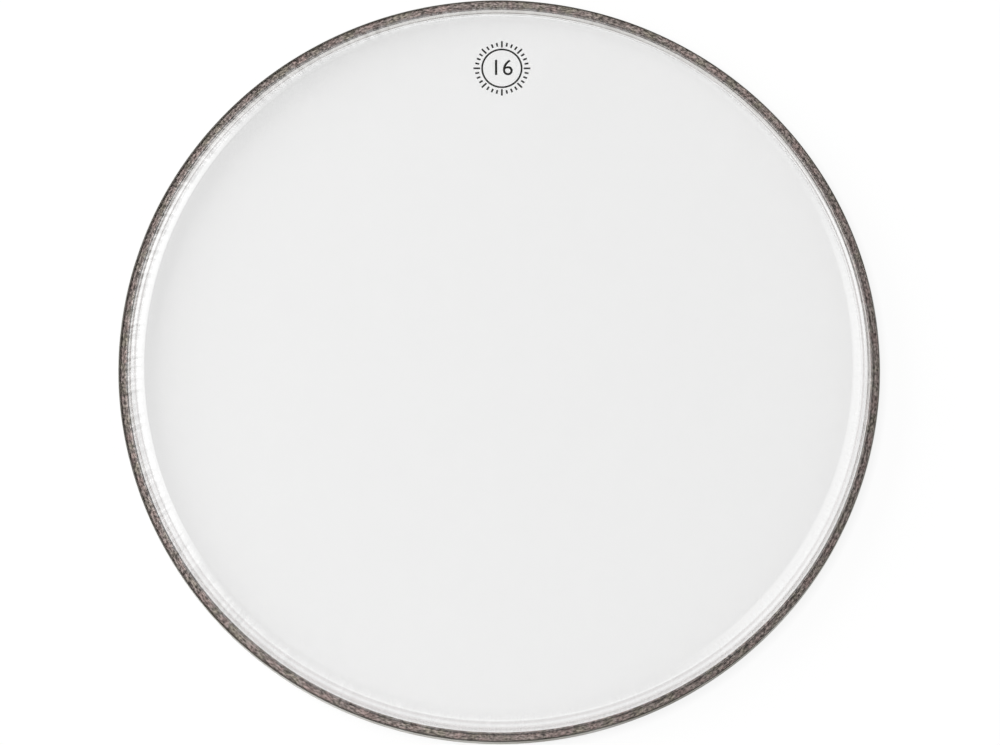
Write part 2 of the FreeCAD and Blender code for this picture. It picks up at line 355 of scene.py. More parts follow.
def stretched(tree, width, length):
    """A node for patterns that run along the hoop: one unit is this width across and this length along."""
    direction, distance, height = round_the_axis(tree)
    across = add_node(tree, "ShaderNodeMath", {0: distance, 1: height}, operation="ADD")
    across = add_node(tree, "ShaderNodeMath", {0: across, 1: width}, operation="DIVIDE")
    lift = add_node(tree, "ShaderNodeCombineXYZ", {"Z": across})
    along = (BORE_RADIUS / length, BORE_RADIUS / length, 0)
    return add_node(tree, "ShaderNodeVectorMath", {0: direction, 1: along, 2: lift}, operation="MULTIPLY_ADD")


def rolled_aluminium(hoop):
    """Rolled aluminium, mill finish: grey and half bright, with fine lines that run along the hoop."""
    # Coarser than real roller lines, which are too fine to show.
    line_width = 0.12 * MM
    line_length = 14 * MM
    line_depth = 0.02 * MM
    patch_size = 40 * MM
    skin_range = {"From Min": 0.35, "From Max": 0.65}
    gloss_range = {"From Min": 0.3, "From Max": 0.7, "To Min": 0.26, "To Max": 0.46}
    material, tree = new_material("rolled_aluminium_mill_finish")
    direction = round_the_axis(tree)[0]
    lines = add_node(tree, "ShaderNodeTexNoise", {
        "Vector": stretched(tree, line_width, line_length), "Scale": 1.0, "Detail": 3.0})
    patches = add_node(tree, "ShaderNodeTexNoise", {
        "Vector": direction, "Scale": BORE_RADIUS / patch_size, "Detail": 4.0})
    skin = add_node(tree, "ShaderNodeMapRange", {"Value": patches, **skin_range})
    colour = add_node(tree, "ShaderNodeMix", {
        "Factor": skin, 6: (*hoop.dull, 1), 7: (*hoop.bright, 1)}, data_type="RGBA").outputs[2]
    gloss = add_node(tree, "ShaderNodeMapRange", {"Value": lines, **gloss_range})
    ridges = add_node(tree, "ShaderNodeBump", {"Height": lines, "Strength": 0.35, "Distance": line_depth})
    metal = add_node(tree, "ShaderNodeBsdfPrincipled", {
        "Base Color": colour, "Metallic": 1.0, "Roughness": gloss, "Normal": ridges})
    add_node(tree, "ShaderNodeOutputMaterial", {"Surface": metal})
    return material


def cast_resin(resin):
    """Filled epoxy resin, cast and left as it set: grey-brown, dull, with pale grains and dark pits."""
    patch_size = 9 * MM
    pit_depth = 0.15 * MM
    grain_length_share = 2.2
    # Stops of the colour ramps: how far up the noise each one lies, and its colour there.
    tones = [(stop, (share, share, share)) for stop, share in ((0.39, 0.12), (0.5, 0.5), (0.6, 1.0))]
    hues = [(0.38, resin.olive), (0.5, resin.grey), (0.62, resin.russet)]
    gloss_range = {"From Min": 0.3, "From Max": 0.7, "To Min": 0.5, "To Max": 0.3}
    material, tree = new_material("cast_filled_epoxy_resin")
    place = add_node(tree, "ShaderNodeTexCoord").outputs["Object"]
    grains = add_node(tree, "ShaderNodeTexNoise", {
        "Vector": stretched(tree, resin.grain_size, grain_length_share * resin.grain_size),
        "Scale": 1.0, "Detail": 5.0, "Roughness": 0.65})
    patches = add_node(tree, "ShaderNodeTexNoise", {"Vector": place, "Scale": 1 / patch_size, "Detail": 3.0})
    ramps = []
    for noise, stops in ((patches, hues), (grains, tones)):
        ramp = add_node(tree, "ShaderNodeValToRGB", {"Fac": noise})
        ramp.color_ramp.elements.new(stops[-1][0])
        for element, (stop, tint) in zip(ramp.color_ramp.elements, stops):
            element.position = stop
            element.color = (*tint, 1)
        ramps.append(ramp)
    hue, tone = ramps
    colour = add_node(tree, "ShaderNodeMix", {
        "Factor": 1.0, 6: hue, 7: tone}, data_type="RGBA", blend_type="MULTIPLY").outputs[2]
    bumps = add_node(tree, "ShaderNodeBump", {"Height": grains, "Strength": 0.6, "Distance": pit_depth})
    gloss = add_node(tree, "ShaderNodeMapRange", {"Value": grains, **gloss_range})
    surface = add_node(tree, "ShaderNodeBsdfPrincipled", {
        "Base Color": colour, "Roughness": gloss, "IOR": 1.55, "Normal": bumps})
    add_node(tree, "ShaderNodeOutputMaterial", {"Surface": surface})
    return material


def clear_film(settings):
    """Clear polyester film, drawn and heat formed: glossy and faintly hazy. The collar has fine radial draw
    lines, along which the film is a little whitened, and round die marks. Rays from lamps pass straight
    through it, so that they light what lies under it."""
    film = settings.film
    # Width of the painted shade along the bends.
    bend_shade_width = 1.2 * MM
    draw_line_width = 2.2 * MM
    draw_line_depth = 0.07 * MM
    die_mark_width = 1.3 * MM
    die_mark_depth = 0.05 * MM
    haze_patch = 70 * MM
    collar_start = BORE_RADIUS - 9.5 * MM
    collar_full = BORE_RADIUS - 6.0 * MM
    whitened_range = {"From Min": 0.35, "From Max": 0.65, "To Max": 0.036}
    haze_range = {"From Min": 0.35, "From Max": 0.65, "To Min": 0.015, "To Max": 0.04}
    passed_share = 0.955
    wall_top, step_foot = 3, 4
    corners = film_corners(settings, 0.0)
    material, tree = new_material("clear_polyester_film_glossy")
    direction, distance = round_the_axis(tree)[:2]
    collar = add_node(tree, "ShaderNodeMapRange", {
        "Value": distance, "From Min": collar_start, "From Max": collar_full},
        interpolation_type="SMOOTHSTEP")

    lines = add_node(tree, "ShaderNodeTexNoise", {
        "Vector": direction, "Scale": BORE_RADIUS / draw_line_width, "Detail": 2.0})
    turns = add_node(tree, "ShaderNodeMath", {0: distance, 1: die_mark_width}, operation="DIVIDE")
    marks = add_node(
        tree, "ShaderNodeTexNoise", {"W": turns, "Scale": 1.0, "Detail": 2.0}, noise_dimensions="1D")
    marks = add_node(tree, "ShaderNodeMath", {0: marks, 1: die_mark_depth}, operation="MULTIPLY")
    relief = add_node(
        tree, "ShaderNodeMath", {0: lines, 1: draw_line_depth, 2: marks}, operation="MULTIPLY_ADD")
    relief = add_node(tree, "ShaderNodeMath", {0: relief, 1: collar}, operation="MULTIPLY")
    ripples = add_node(tree, "ShaderNodeBump", {"Height": relief, "Strength": 1.0, "Distance": 1.0})

    white_lines = add_node(tree, "ShaderNodeMapRange", {"Value": lines, **whitened_range})
    whitening = add_node(tree, "ShaderNodeMath", {0: white_lines, 1: collar}, operation="MULTIPLY")
    clearness = add_node(tree, "ShaderNodeMath", {0: 1.0, 1: whitening}, operation="SUBTRACT")
    place = add_node(tree, "ShaderNodeTexCoord").outputs["Object"]
    haze = add_node(tree, "ShaderNodeTexNoise", {"Vector": place, "Scale": 1 / haze_patch, "Detail": 3.0})
    blur = add_node(tree, "ShaderNodeMapRange", {"Value": haze, **haze_range})

    # Painted shade: near the top of the steep wall and the foot of the step the film is tinted grey, standing
    # in for the dark lines that these bends show.
    shade_at_bends = 0.0
    for bend in (wall_top, step_foot):
        radius = corners[bend][0].x
        off = add_node(tree, "ShaderNodeMath", {0: distance, 1: radius}, operation="SUBTRACT")
        off = add_node(tree, "ShaderNodeMath", {0: off}, operation="ABSOLUTE")
        nearness = add_node(tree, "ShaderNodeMapRange", {
            "Value": off, "From Max": bend_shade_width, "To Min": 1.0, "To Max": 0.0},
            interpolation_type="SMOOTHSTEP")
        shade_at_bends = add_node(tree, "ShaderNodeMath", {0: shade_at_bends, 1: nearness}, operation="MAXIMUM")
    colour = add_node(tree, "ShaderNodeMix", {
        "Factor": shade_at_bends, 6: (*film.tint, 1), 7: (*film.mark, 1)}, data_type="RGBA").outputs[2]
    sheet = add_node(tree, "ShaderNodeBsdfPrincipled", {
        "Base Color": colour, "Roughness": blur, "IOR": 1.57, "Transmission Weight": clearness,
        "Normal": ripples})
    passing = add_node(tree, "ShaderNodeBsdfTransparent", {
        "Color": (passed_share, passed_share, passed_share, 1)})
    shadow_ray = add_node(tree, "ShaderNodeLightPath").outputs["Is Shadow Ray"]
    either = add_node(tree, "ShaderNodeMixShader", {0: shadow_ray, 1: sheet, 2: passing})
    add_node(tree, "ShaderNodeOutputMaterial", {"Surface": either})
    return material


def screen_ink(dial):
    """Black screen ink on film: dense and half dull, a little thinner where the mesh of the screen lay."""
    # Coarser than a real screen's mesh, which is too fine to show.
    mesh_pitch = 0.5 * MM
    thin_range = {"From Min": 0.45, "From Max": 0.75, "To Min": 0.0, "To Max": 0.5}
    material, tree = new_material("black_screen_ink")
    place = add_node(tree, "ShaderNodeTexCoord").outputs["Object"]
    spots = add_node(tree, "ShaderNodeTexNoise", {"Vector": place, "Scale": 1 / mesh_pitch, "Detail": 2.0})
    thin = add_node(tree, "ShaderNodeMapRange", {"Value": spots, **thin_range})
    colour = add_node(tree, "ShaderNodeMix", {
        "Factor": thin, 6: (*dial.ink, 1), 7: (*dial.thin_ink, 1)}, data_type="RGBA").outputs[2]
    layer = add_node(tree, "ShaderNodeBsdfPrincipled", {"Base Color": colour, "Roughness": 0.45, "IOR": 1.5})
    add_node(tree, "ShaderNodeOutputMaterial", {"Surface": layer})
    return material


def white_paper(stage):
    """Seamless background paper: white to the camera and in reflections. It takes the object's shadow, which
    is faint outside the hoop."""
    material, tree = new_material("seamless_white_paper")
    distance = round_the_axis(tree)[1]
    glow_share = add_node(tree, "ShaderNodeMapRange", {
        "Value": distance, "From Min": RIM_MIDDLE, "From Max": RIM_MIDDLE + stage.glow_edge,
        "To Min": stage.glow_share, "To Max": stage.outer_glow_share})
    inside = add_node(tree, "ShaderNodeMath", {0: distance, 1: RIM_MIDDLE}, operation="LESS_THAN")
    clear = add_node(tree, "ShaderNodeMapRange", {
        "Value": distance, "From Min": RIM_MIDDLE, "From Max": RIM_MIDDLE + stage.contact_reach})
    clear = add_node(tree, "ShaderNodeMath", {0: inside, 1: clear}, operation="MAXIMUM")
    rays = add_node(tree, "ShaderNodeLightPath").outputs
    mirrored = add_node(tree, "ShaderNodeMath", {0: rays["Is Glossy Ray"], 1: clear}, operation="MULTIPLY")
    seen = add_node(tree, "ShaderNodeMath", {0: rays["Is Camera Ray"], 1: mirrored}, operation="MAXIMUM")
    seen = add_node(tree, "ShaderNodeMath", {0: seen, 1: rays["Is Transmission Ray"]}, operation="MAXIMUM")
    share = add_node(tree, "ShaderNodeMath", {0: seen, 1: glow_share}, operation="MULTIPLY")
    matt = add_node(tree, "ShaderNodeBsdfDiffuse", {"Color": (*stage.paper, 1)})
    glow = add_node(tree, "ShaderNodeEmission", {"Color": WHITE, "Strength": 1.0})
    both = add_node(tree, "ShaderNodeMixShader", {0: share, 1: matt, 2: glow})
    add_node(tree, "ShaderNodeOutputMaterial", {"Surface": both})
    return material


def new_tree(name, sockets):
    """A geometry node tree with its named inputs, and the sockets of its group input."""
    tree = bpy.data.node_groups.new(name, "GeometryNodeTree")
    for label, kind in sockets:
        tree.interface.new_socket(label, in_out="INPUT", socket_type=f"NodeSocket{kind}")
    tree.interface.new_socket("Geometry", in_out="OUTPUT", socket_type="NodeSocketGeometry")
    return tree, add_node(tree, "NodeGroupInput").outputs


def finish_tree(tree, geometry, material):
    """Ends a tree: instances become plain mesh, and the mesh gets its material."""
    real = add_node(tree, "GeometryNodeRealizeInstances", {"Geometry": geometry})
    coated = add_node(tree, "GeometryNodeSetMaterial", {"Geometry": real, "Material": material})
    add_node(tree, "NodeGroupOutput", {"Geometry": coated})


def rolled_section_tree():
    """Carries a section round the hoop's axis. Its ends can taper, and its top can have a grain."""
    tree, given = new_tree("rolled_section", [
        ("Section", "Geometry"),
        ("Path Radius", "Float"),
        ("Path Height", "Float"),
        ("Segments", "Int"),
        ("Closed", "Bool"),
        ("Start Angle", "Float"),
        ("Sweep Angle", "Float"),
        ("Taper", "Float"),
        ("Taper Power", "Float"),
        ("Grain Height", "Float"),
        ("Grain Size", "Float"),
        ("Grain Floor", "Float"),
        ("Seed", "Float"),
        ("Material", "Material"),
    ])
    upright = (math.pi / 2, 0, 0)
    grain_range = {"From Min": 0.25, "From Max": 0.75, "To Min": -0.5, "To Max": 0.5}
    outline = add_node(tree, "GeometryNodeMeshToCurve", {"Mesh": given["Section"]})
    inward = add_node(tree, "ShaderNodeMath", {0: given["Path Radius"], 1: -1.0}, operation="MULTIPLY")
    shift = add_node(tree, "ShaderNodeCombineXYZ", {"X": inward, "Y": given["Path Height"]})
    profile = add_node(tree, "GeometryNodeTransform", {
        "Geometry": outline, "Translation": shift, "Rotation": upright})

    stops = add_node(tree, "ShaderNodeMath", {0: given["Segments"], 1: 1.0}, operation="ADD")
    arc = add_node(tree, "GeometryNodeCurveArc", {
        "Resolution": stops,
        "Radius": given["Path Radius"],
        "Start Angle": given["Start Angle"],
        "Sweep Angle": given["Sweep Angle"],
    }, mode="RADIUS")
    circle = add_node(tree, "GeometryNodeCurvePrimitiveCircle", {
        "Resolution": given["Segments"], "Radius": given["Path Radius"]})
    line = add_node(tree, "GeometryNodeSwitch", {
        "Switch": given["Closed"], "False": arc, "True": circle}, input_type="GEOMETRY")
    rise = add_node(tree, "ShaderNodeCombineXYZ", {"Z": given["Path Height"]})
    lifted = add_node(tree, "GeometryNodeTransform", {"Geometry": line, "Translation": rise})
    path = add_node(tree, "GeometryNodeSetCurveNormal", {"Curve": lifted}, mode="Z_UP")

    along = add_node(tree, "GeometryNodeSplineParameter").outputs["Factor"]
    from_middle = add_node(tree, "ShaderNodeMapRange", {"Value": along, "To Min": -1.0, "To Max": 1.0})
    off_middle = add_node(tree, "ShaderNodeMath", {0: from_middle}, operation="ABSOLUTE")
    closeness = add_node(tree, "ShaderNodeMath", {0: off_middle, 1: given["Taper Power"]}, operation="POWER")
    loss = add_node(tree, "ShaderNodeMath", {0: closeness, 1: given["Taper"]}, operation="MULTIPLY")
    scale = add_node(tree, "ShaderNodeMath", {0: 1.0, 1: loss}, operation="SUBTRACT")
    swept = add_node(tree, "GeometryNodeCurveToMesh", {
        "Curve": path, "Profile Curve": profile, "Scale": scale, "Fill Caps": True})
    closed = add_node(tree, "GeometryNodeMergeByDistance", {"Geometry": swept, "Distance": SAME_POINT})

    place = add_node(tree, "GeometryNodeInputPosition")
    height = add_node(tree, "ShaderNodeSeparateXYZ", {"Vector": place}).outputs["Z"]
    on_top = add_node(
        tree, "FunctionNodeCompare", {0: height, 1: given["Grain Floor"]}, operation="GREATER_THAN")
    fineness = add_node(tree, "ShaderNodeMath", {0: 1.0, 1: given["Grain Size"]}, operation="DIVIDE")
    grain = add_node(tree, "ShaderNodeTexNoise", {
        "Vector": place, "W": given["Seed"], "Scale": fineness, "Detail": 3.0}, noise_dimensions="4D")
    swing = add_node(tree, "ShaderNodeMapRange", {"Value": grain, **grain_range})
    lift = add_node(tree, "ShaderNodeMath", {0: swing, 1: given["Grain Height"]}, operation="MULTIPLY")
    offset = add_node(tree, "ShaderNodeCombineXYZ", {"Z": lift})
    grained = add_node(tree, "GeometryNodeSetPosition", {
        "Geometry": closed, "Selection": on_top, "Offset": offset})
    finish_tree(tree, grained, given["Material"])
    return tree


def dial_tree():
    """A printed dial: a ring, ticks round it with each fourth one longer, and a number in the middle."""
    tree, given = new_tree("printed_dial", [
        ("Geometry", "Geometry"),
        ("Radius", "Float"),
        ("Line", "Float"),
        ("Tick Radius", "Float"),
        ("Tick Length", "Float"),
        ("Tick Count", "Int"),
        ("Number", "String"),
        ("Number Size", "Float"),
        ("Ink Height", "Float"),
        ("Place", "Vector"),
        ("Material", "Material"),
    ])
    long_tick_every = 4.0
    long_tick_share = 1.7
    ring_segments = 128
    half = add_node(tree, "ShaderNodeMath", {0: given["Ink Height"], 1: 2.0}, operation="DIVIDE")
    middle = add_node(tree, "ShaderNodeCombineXYZ", {"Z": half})

    circle = add_node(tree, "GeometryNodeCurvePrimitiveCircle", {
        "Resolution": ring_segments, "Radius": given["Radius"]})
    circle = add_node(tree, "GeometryNodeSetCurveNormal", {"Curve": circle}, mode="Z_UP")
    strip = add_node(tree, "GeometryNodeCurvePrimitiveQuadrilateral", {
        "Width": given["Line"], "Height": given["Ink Height"]})
    ring = add_node(tree, "GeometryNodeCurveToMesh", {"Curve": circle, "Profile Curve": strip})

    stops = add_node(tree, "GeometryNodeMeshCircle", {
        "Vertices": given["Tick Count"], "Radius": given["Tick Radius"]})
    tick_size = add_node(tree, "ShaderNodeCombineXYZ", {
        "X": given["Tick Length"], "Y": given["Line"], "Z": given["Ink Height"]})
    tick = add_node(tree, "GeometryNodeMeshCube", {"Size": tick_size})
    outward = add_node(tree, "GeometryNodeInputPosition")
    turn = add_node(tree, "FunctionNodeAlignRotationToVector", {"Vector": outward}, axis="X")
    index = add_node(tree, "GeometryNodeInputIndex")
    rest = add_node(tree, "ShaderNodeMath", {0: index, 1: long_tick_every}, operation="MODULO")
    main_tick = add_node(tree, "ShaderNodeMath", {0: rest, 1: 1.0}, operation="LESS_THAN")
    stretch = add_node(tree, "ShaderNodeMapRange", {
        "Value": main_tick, "To Min": 1.0, "To Max": long_tick_share})
    tick_scale = add_node(tree, "ShaderNodeCombineXYZ", {"X": stretch, "Y": 1.0, "Z": 1.0})
    ticks = add_node(tree, "GeometryNodeInstanceOnPoints", {
        "Points": stops, "Instance": tick, "Rotation": turn, "Scale": tick_scale})
    lines = add_node(tree, "GeometryNodeJoinGeometry")
    for part in (ring, ticks):
        tree.links.new(part.outputs[0], lines.inputs["Geometry"])
    lines = add_node(tree, "GeometryNodeTransform", {"Geometry": lines, "Translation": middle})

    letters = add_node(tree, "GeometryNodeStringToCurves", {
        "String": given["Number"], "Size": given["Number Size"]}, align_x="CENTER", align_y="MIDDLE")
    outline = add_node(tree, "GeometryNodeRealizeInstances", {"Geometry": letters})
    under = add_node(tree, "GeometryNodeFillCurve", {"Curve": outline})
    upward = add_node(tree, "ShaderNodeCombineXYZ", {"Z": 1.0})
    raised = add_node(tree, "GeometryNodeExtrudeMesh", {
        "Mesh": under, "Offset": upward, "Offset Scale": given["Ink Height"], "Individual": False})
    back = add_node(tree, "GeometryNodeFlipFaces", {"Mesh": under})

    whole = add_node(tree, "GeometryNodeJoinGeometry")
    for part in (lines, raised, back):
        tree.links.new(part.outputs[0], whole.inputs["Geometry"])
    joined = add_node(tree, "GeometryNodeMergeByDistance", {"Geometry": whole, "Distance": SAME_POINT})
    placed = add_node(tree, "GeometryNodeTransform", {"Geometry": joined, "Translation": given["Place"]})
    finish_tree(tree, placed, given["Material"])
    return tree


def grow(piece, tree, values):
    """Runs a geometry tree on a piece with these input values, and keeps the result as its plain mesh."""
    modifier = piece.modifiers.new(tree.name, "NODES")
    modifier.node_group = tree
    sockets = {item.name: item.identifier for item in tree.interface.items_tree if item.in_out == "INPUT"}
    for name, value in values.items():
        modifier[sockets[name]] = value
    piece.update_tag()
    ready = piece.evaluated_get(bpy.context.evaluated_depsgraph_get())
    mesh = bpy.data.meshes.new_from_object(ready)
    piece.modifiers.remove(modifier)
    if not mesh.polygons:
        raise RuntimeError(f"{piece.name} came out empty")
    piece.data = mesh
    mesh.name = piece.name
    turn_outwards(mesh)
    mesh.shade_smooth()
    mesh.set_sharp_from_angle(angle=SHARP_ANGLE)


def turn_outwards(mesh):
    """Turns all faces of a closed mesh outwards."""
    shell = bmesh.new()
    shell.from_mesh(mesh)
    bmesh.ops.recalc_face_normals(shell, faces=shell.faces)
    shell.to_mesh(mesh)
    shell.free()


def new_piece(name, points=(), closed=False):
    """A new object whose mesh is a line through points of a section, each a radius and a height."""
    mesh = bpy.data.meshes.new(name)
    edges = [(start, start + 1) for start in range(len(points) - 1)]
    if closed:
        edges.append((len(points) - 1, 0))
    mesh.from_pydata([(radius, 0, height) for radius, height in points], edges, [])
    piece = bpy.data.objects.new(name, mesh)
    bpy.context.scene.collection.objects.link(piece)
    return piece


def roll(name, points, closed, material, segments, start=0.0, sweep=FULL_TURN, **extra):
    """A piece made by carrying a section round the axis."""
    piece = new_piece(name, points, closed)
    tree = bpy.data.node_groups.get("rolled_section") or rolled_section_tree()
    values = {
        "Path Radius": BORE_RADIUS,
        "Path Height": HOOP_TOP,
        "Segments": segments,
        "Closed": sweep == FULL_TURN,
        "Start Angle": start,
        "Sweep Angle": sweep,
        "Taper": 0.0,
        "Taper Power": 1.0,
        "Grain Height": 0.0,
        "Grain Size": 1.0,
        "Grain Floor": FACE_TOP,
        "Seed": 0.0,
        "Material": material,
    }
    values.update(extra)
    grow(piece, tree, values)
    return piece


def round_corners(corners, closed):
    """Points of an outline whose corners, each a place and a bend radius, are drawn as arcs."""
    points = []
    count = len(corners)
    for index, (corner, radius) in enumerate(corners):
        at_end = not closed and index in (0, count - 1)
        if at_end or radius == 0:
            points.append(corner)
            continue
        before = (corners[index - 1][0] - corner).normalized()
        after = (corners[(index + 1) % count][0] - corner).normalized()
        half = before.angle(after) / 2
        middle = corner + (before + after).normalized() * (radius / math.sin(half))
        first = corner + before * (radius / math.tan(half)) - middle
        turn = first.angle_signed(corner + after * (radius / math.tan(half)) - middle)
        steps = max(ARC_LEAST_STEPS, math.ceil(abs(turn) / ARC_STEP))
        for step in range(steps + 1):
            points.append(middle + Matrix.Rotation(-turn * step / steps, IN_PLANE) @ first)
    return points


def hoop_section(hoop):
    """The channel's section, open at the top, with rounded bottom corners and rims."""
    outside = RIM_MIDDLE + hoop.wall / 2
    inner_top = HOOP_TOP - hoop.inner_drop
    fold = hoop.fold_radius
    inner_edge = hoop.wall - hoop.edge_radius - SAME_POINT
    corners = [
        (Vector((outside, 0)), hoop.corner_radius),
        (Vector((outside, HOOP_TOP)), hoop.edge_radius),
        (Vector((outside - hoop.wall, HOOP_TOP)), inner_edge),
        (Vector((outside - hoop.wall, hoop.wall)), fold),
        (Vector((BORE_RADIUS + hoop.wall, hoop.wall)), fold),
        (Vector((BORE_RADIUS + hoop.wall, inner_top)), inner_edge),
        (Vector((BORE_RADIUS, inner_top)), hoop.edge_radius),
        (Vector((BORE_RADIUS, 0)), hoop.corner_radius),
    ]
    return round_corners(corners, closed=True)


def film_corners(settings, depth):
    """The bends of a film's surface at a depth below the playing face, from the skirt's foot to the axis."""
    hoop, film = settings.hoop, settings.film
    skirt = BORE_RADIUS + hoop.wall + film.inset + 2 * film.thickness + film.gap
    stretches = [
        (film.ledge_angle, film.ledge_height, film.root_bend),
        (film.wall_angle, film.wall_height, film.crease_bend),
        (film.lower_angle, film.lower_height, film.wall_bend),
        (film.step_angle, film.step_height, film.crease_bend),
        (film.riser_angle, film.riser_height, film.crease_bend),
    ]
    place = Vector((skirt, HOOP_TOP + film.root_rise))
    upper_rise = FACE_TOP - place.y - sum(rise for slope, rise, bend in stretches)
    stretches.append((film.upper_angle, upper_rise, film.crease_bend))
    stretches.append((0.0, 0.0, film.shoulder_bend))
    below = math.pi / 2
    corners = [(Vector((skirt - depth, SKIRT_FOOT)), 0.0)]
    for slope, rise, bend in stretches:
        spread = 1 + math.cos(below - slope)
        inward = (math.sin(below) + math.sin(slope)) / spread
        down = (math.cos(below) + math.cos(slope)) / spread
        hollow = slope > below
        corners.append((place - depth * Vector((inward, down)), bend + depth if hollow else bend - depth))
        if rise:
            place = place + Vector((-rise / math.tan(slope), rise))
        below = slope
    corners.append((Vector((0, FACE_TOP - depth)), 0.0))
    return corners


def film_surface(settings, depth):
    """Points of one surface of a film, with a few rings on its flat face."""
    ring_shares = (0.995, 0.75, 0.5, 0.25)
    points = round_corners(film_corners(settings, depth), closed=False)
    edge = points[-2]
    rings = [Vector((edge.x * share, edge.y)) for share in ring_shares]
    return points[:-1] + rings + points[-1:]


def film_section(settings, depth):
    """A film's section: from the axis along its upper surface to the skirt's foot, and back underneath."""
    upper = film_surface(settings, depth)
    under = film_surface(settings, depth + settings.film.thickness)
    return upper[::-1] + under


def resin_section(settings):
    """The resin's section: it fills the channel, climbs the walls a little and leaves the films a groove."""
    hoop, resin, film = settings.hoop, settings.resin, settings.film
    outer_steps = 16
    inner_steps = 2
    floor = hoop.wall + resin.clearance
    inside = BORE_RADIUS + hoop.wall + resin.clearance
    outside = RIM_MIDDLE - hoop.wall / 2 - resin.clearance
    groove_inside = BORE_RADIUS + hoop.wall + film.inset - resin.clearance
    groove_outside = groove_inside + 2 * (film.thickness + resin.clearance) + film.gap
    groove_floor = SKIRT_FOOT - resin.clearance

    def top(wall, film_side, count):
        """Points from the wall to the film, where the resin climbs both."""
        points = []
        for step in range(count + 1):
            spot = wall + (film_side - wall) * step / count
            wall_climb = resin.wall_meniscus * math.exp(-abs(spot - wall) / resin.meniscus_reach)
            film_climb = resin.film_meniscus * math.exp(-abs(spot - film_side) / resin.meniscus_reach)
            crown = resin.crown * math.sin(math.pi * step / count)
            points.append(Vector((spot, RESIN_TOP + crown + wall_climb + film_climb)))
        return points

    bottom = round_corners([
        (Vector((inside, RESIN_TOP)), 0.0),
        (Vector((inside, floor)), hoop.fold_radius),
        (Vector((outside, floor)), hoop.fold_radius),
        (Vector((outside, RESIN_TOP)), 0.0),
    ], closed=False)
    outer_top = top(outside, groove_outside, outer_steps)
    groove = [Vector((groove_outside, groove_floor)), Vector((groove_inside, groove_floor))]
    inner_top = top(inside, groove_inside, inner_steps)[::-1]
    return bottom[1:-1] + outer_top + groove + inner_top


def run_section(settings):
    """Section of the resin that ran over the inner rim: a thin skin wrapped round the rim's edge."""
    hoop, resin = settings.hoop, settings.resin
    rim = HOOP_TOP - hoop.inner_drop
    foot = rim - hoop.edge_radius
    outside = BORE_RADIUS + hoop.wall
    near = resin.clearance
    far = resin.clearance + resin.run_height
    corners = [
        (Vector((outside, rim + near)), 0.0),
        (Vector((outside, rim + far)), 0.0),
        (Vector((BORE_RADIUS - far, rim + far)), hoop.edge_radius + far),
        (Vector((BORE_RADIUS - far, foot)), 0.0),
        (Vector((BORE_RADIUS - near, foot)), 0.0),
        (Vector((BORE_RADIUS - near, rim + near)), hoop.edge_radius + near),
    ]
    return round_corners(corners, closed=True)


def seat(piece, slot, *nodes):
    """Fixes a piece to the part, in place of its solids."""
    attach(piece, BODY)
    if nodes:
        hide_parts(*nodes)


class DRUMHEAD_OT_roll_hoop(bpy.types.Operator):
    """Rolls the channel into a hoop that is open at its butt joint"""
    bl_idname = "drumhead.roll_hoop"
    bl_label = "Roll hoop"

    def execute(self, context):
        hoop = context.scene.drum_head.hoop
        gap = hoop.joint_gap / BORE_RADIUS
        start = hoop.joint_angle + gap / 2
        piece = roll(
            "channel_hoop", hoop_section(hoop), True, rolled_aluminium(hoop), hoop.segments,
            start=start, sweep=FULL_TURN - gap)
        seat(piece, "hoop_aluminium", "flesh_hoop")
        return {"FINISHED"}


class DRUMHEAD_OT_cast_resin(bpy.types.Operator):
    """Casts the resin into the channel, with its run over the inner rim"""
    bl_idname = "drumhead.cast_resin"
    bl_label = "Cast resin"

    def execute(self, context):
        settings = context.scene.drum_head
        resin = settings.resin
        material = cast_resin(resin)
        grain = {
            "Grain Height": resin.grain_height,
            "Grain Size": resin.grain_size,
            "Grain Floor": RESIN_TOP - resin.grain_height,
            "Seed": float(resin.seed),
        }
        run_ends = {"Taper": 0.7, "Taper Power": 150.0}
        fill = roll("resin_fill", resin_section(settings), True, material, resin.segments, **grain)
        seat(fill, "lock_resin", "resin_lock")
        run = roll(
            "resin_run", run_section(settings), True, material, resin.run_segments,
            start=resin.run_start, sweep=resin.run_length, **run_ends, **grain)
        seat(run, "lock_resin")
        return {"FINISHED"}


class DRUMHEAD_OT_form_films(bpy.types.Operator):
    """Forms the two clear films with their collar"""
    bl_idname = "drumhead.form_films"
    bl_label = "Form films"

    def execute(self, context):
        settings = context.scene.drum_head
        film = settings.film
        material = clear_film(settings)
        for name, node, depth in (
            ("batter_film", "batter_ply", 0.0),
            ("under_film", "under_ply", film.thickness + film.gap),
        ):
            piece = roll(name, film_section(settings, depth), False, material, film.segments)
            seat(piece, "clear_film", node)
        return {"FINISHED"}


class DRUMHEAD_OT_print_dial(bpy.types.Operator):
    """Prints the size dial on the playing face"""
    bl_idname = "drumhead.print_dial"
    bl_label = "Print dial"

    def execute(self, context):
        dial = context.scene.drum_head.dial
        piece = new_piece("size_dial")
        grow(piece, dial_tree(), {
            "Radius": dial.radius,
            "Line": dial.line,
            "Tick Radius": dial.tick_radius,
            "Tick Length": dial.tick_length,
            "Tick Count": dial.tick_count,
            "Number": dial.number,
            "Number Size": dial.number_size,
            "Ink Height": dial.ink_height,
            "Place": (*dial.place, FACE_TOP),
            "Material": screen_ink(dial),
        })
        seat(piece, "print_ink")
        return {"FINISHED"}


class DRUMHEAD_OT_set_stage(bpy.types.Operator):
    """Sets the paper floor, the light and the camera"""
    bl_idname = "drumhead.set_stage"
    bl_label = "Set stage"

    def execute(self, context):
        stage = context.scene.drum_head.stage
        lay_floor(stage)
        light_room(context.scene, stage)
        set_lamps(context.scene, stage)
        place_camera(context.scene, stage)
        context.scene.view_settings.view_transform = "Standard"
        return {"FINISHED"}


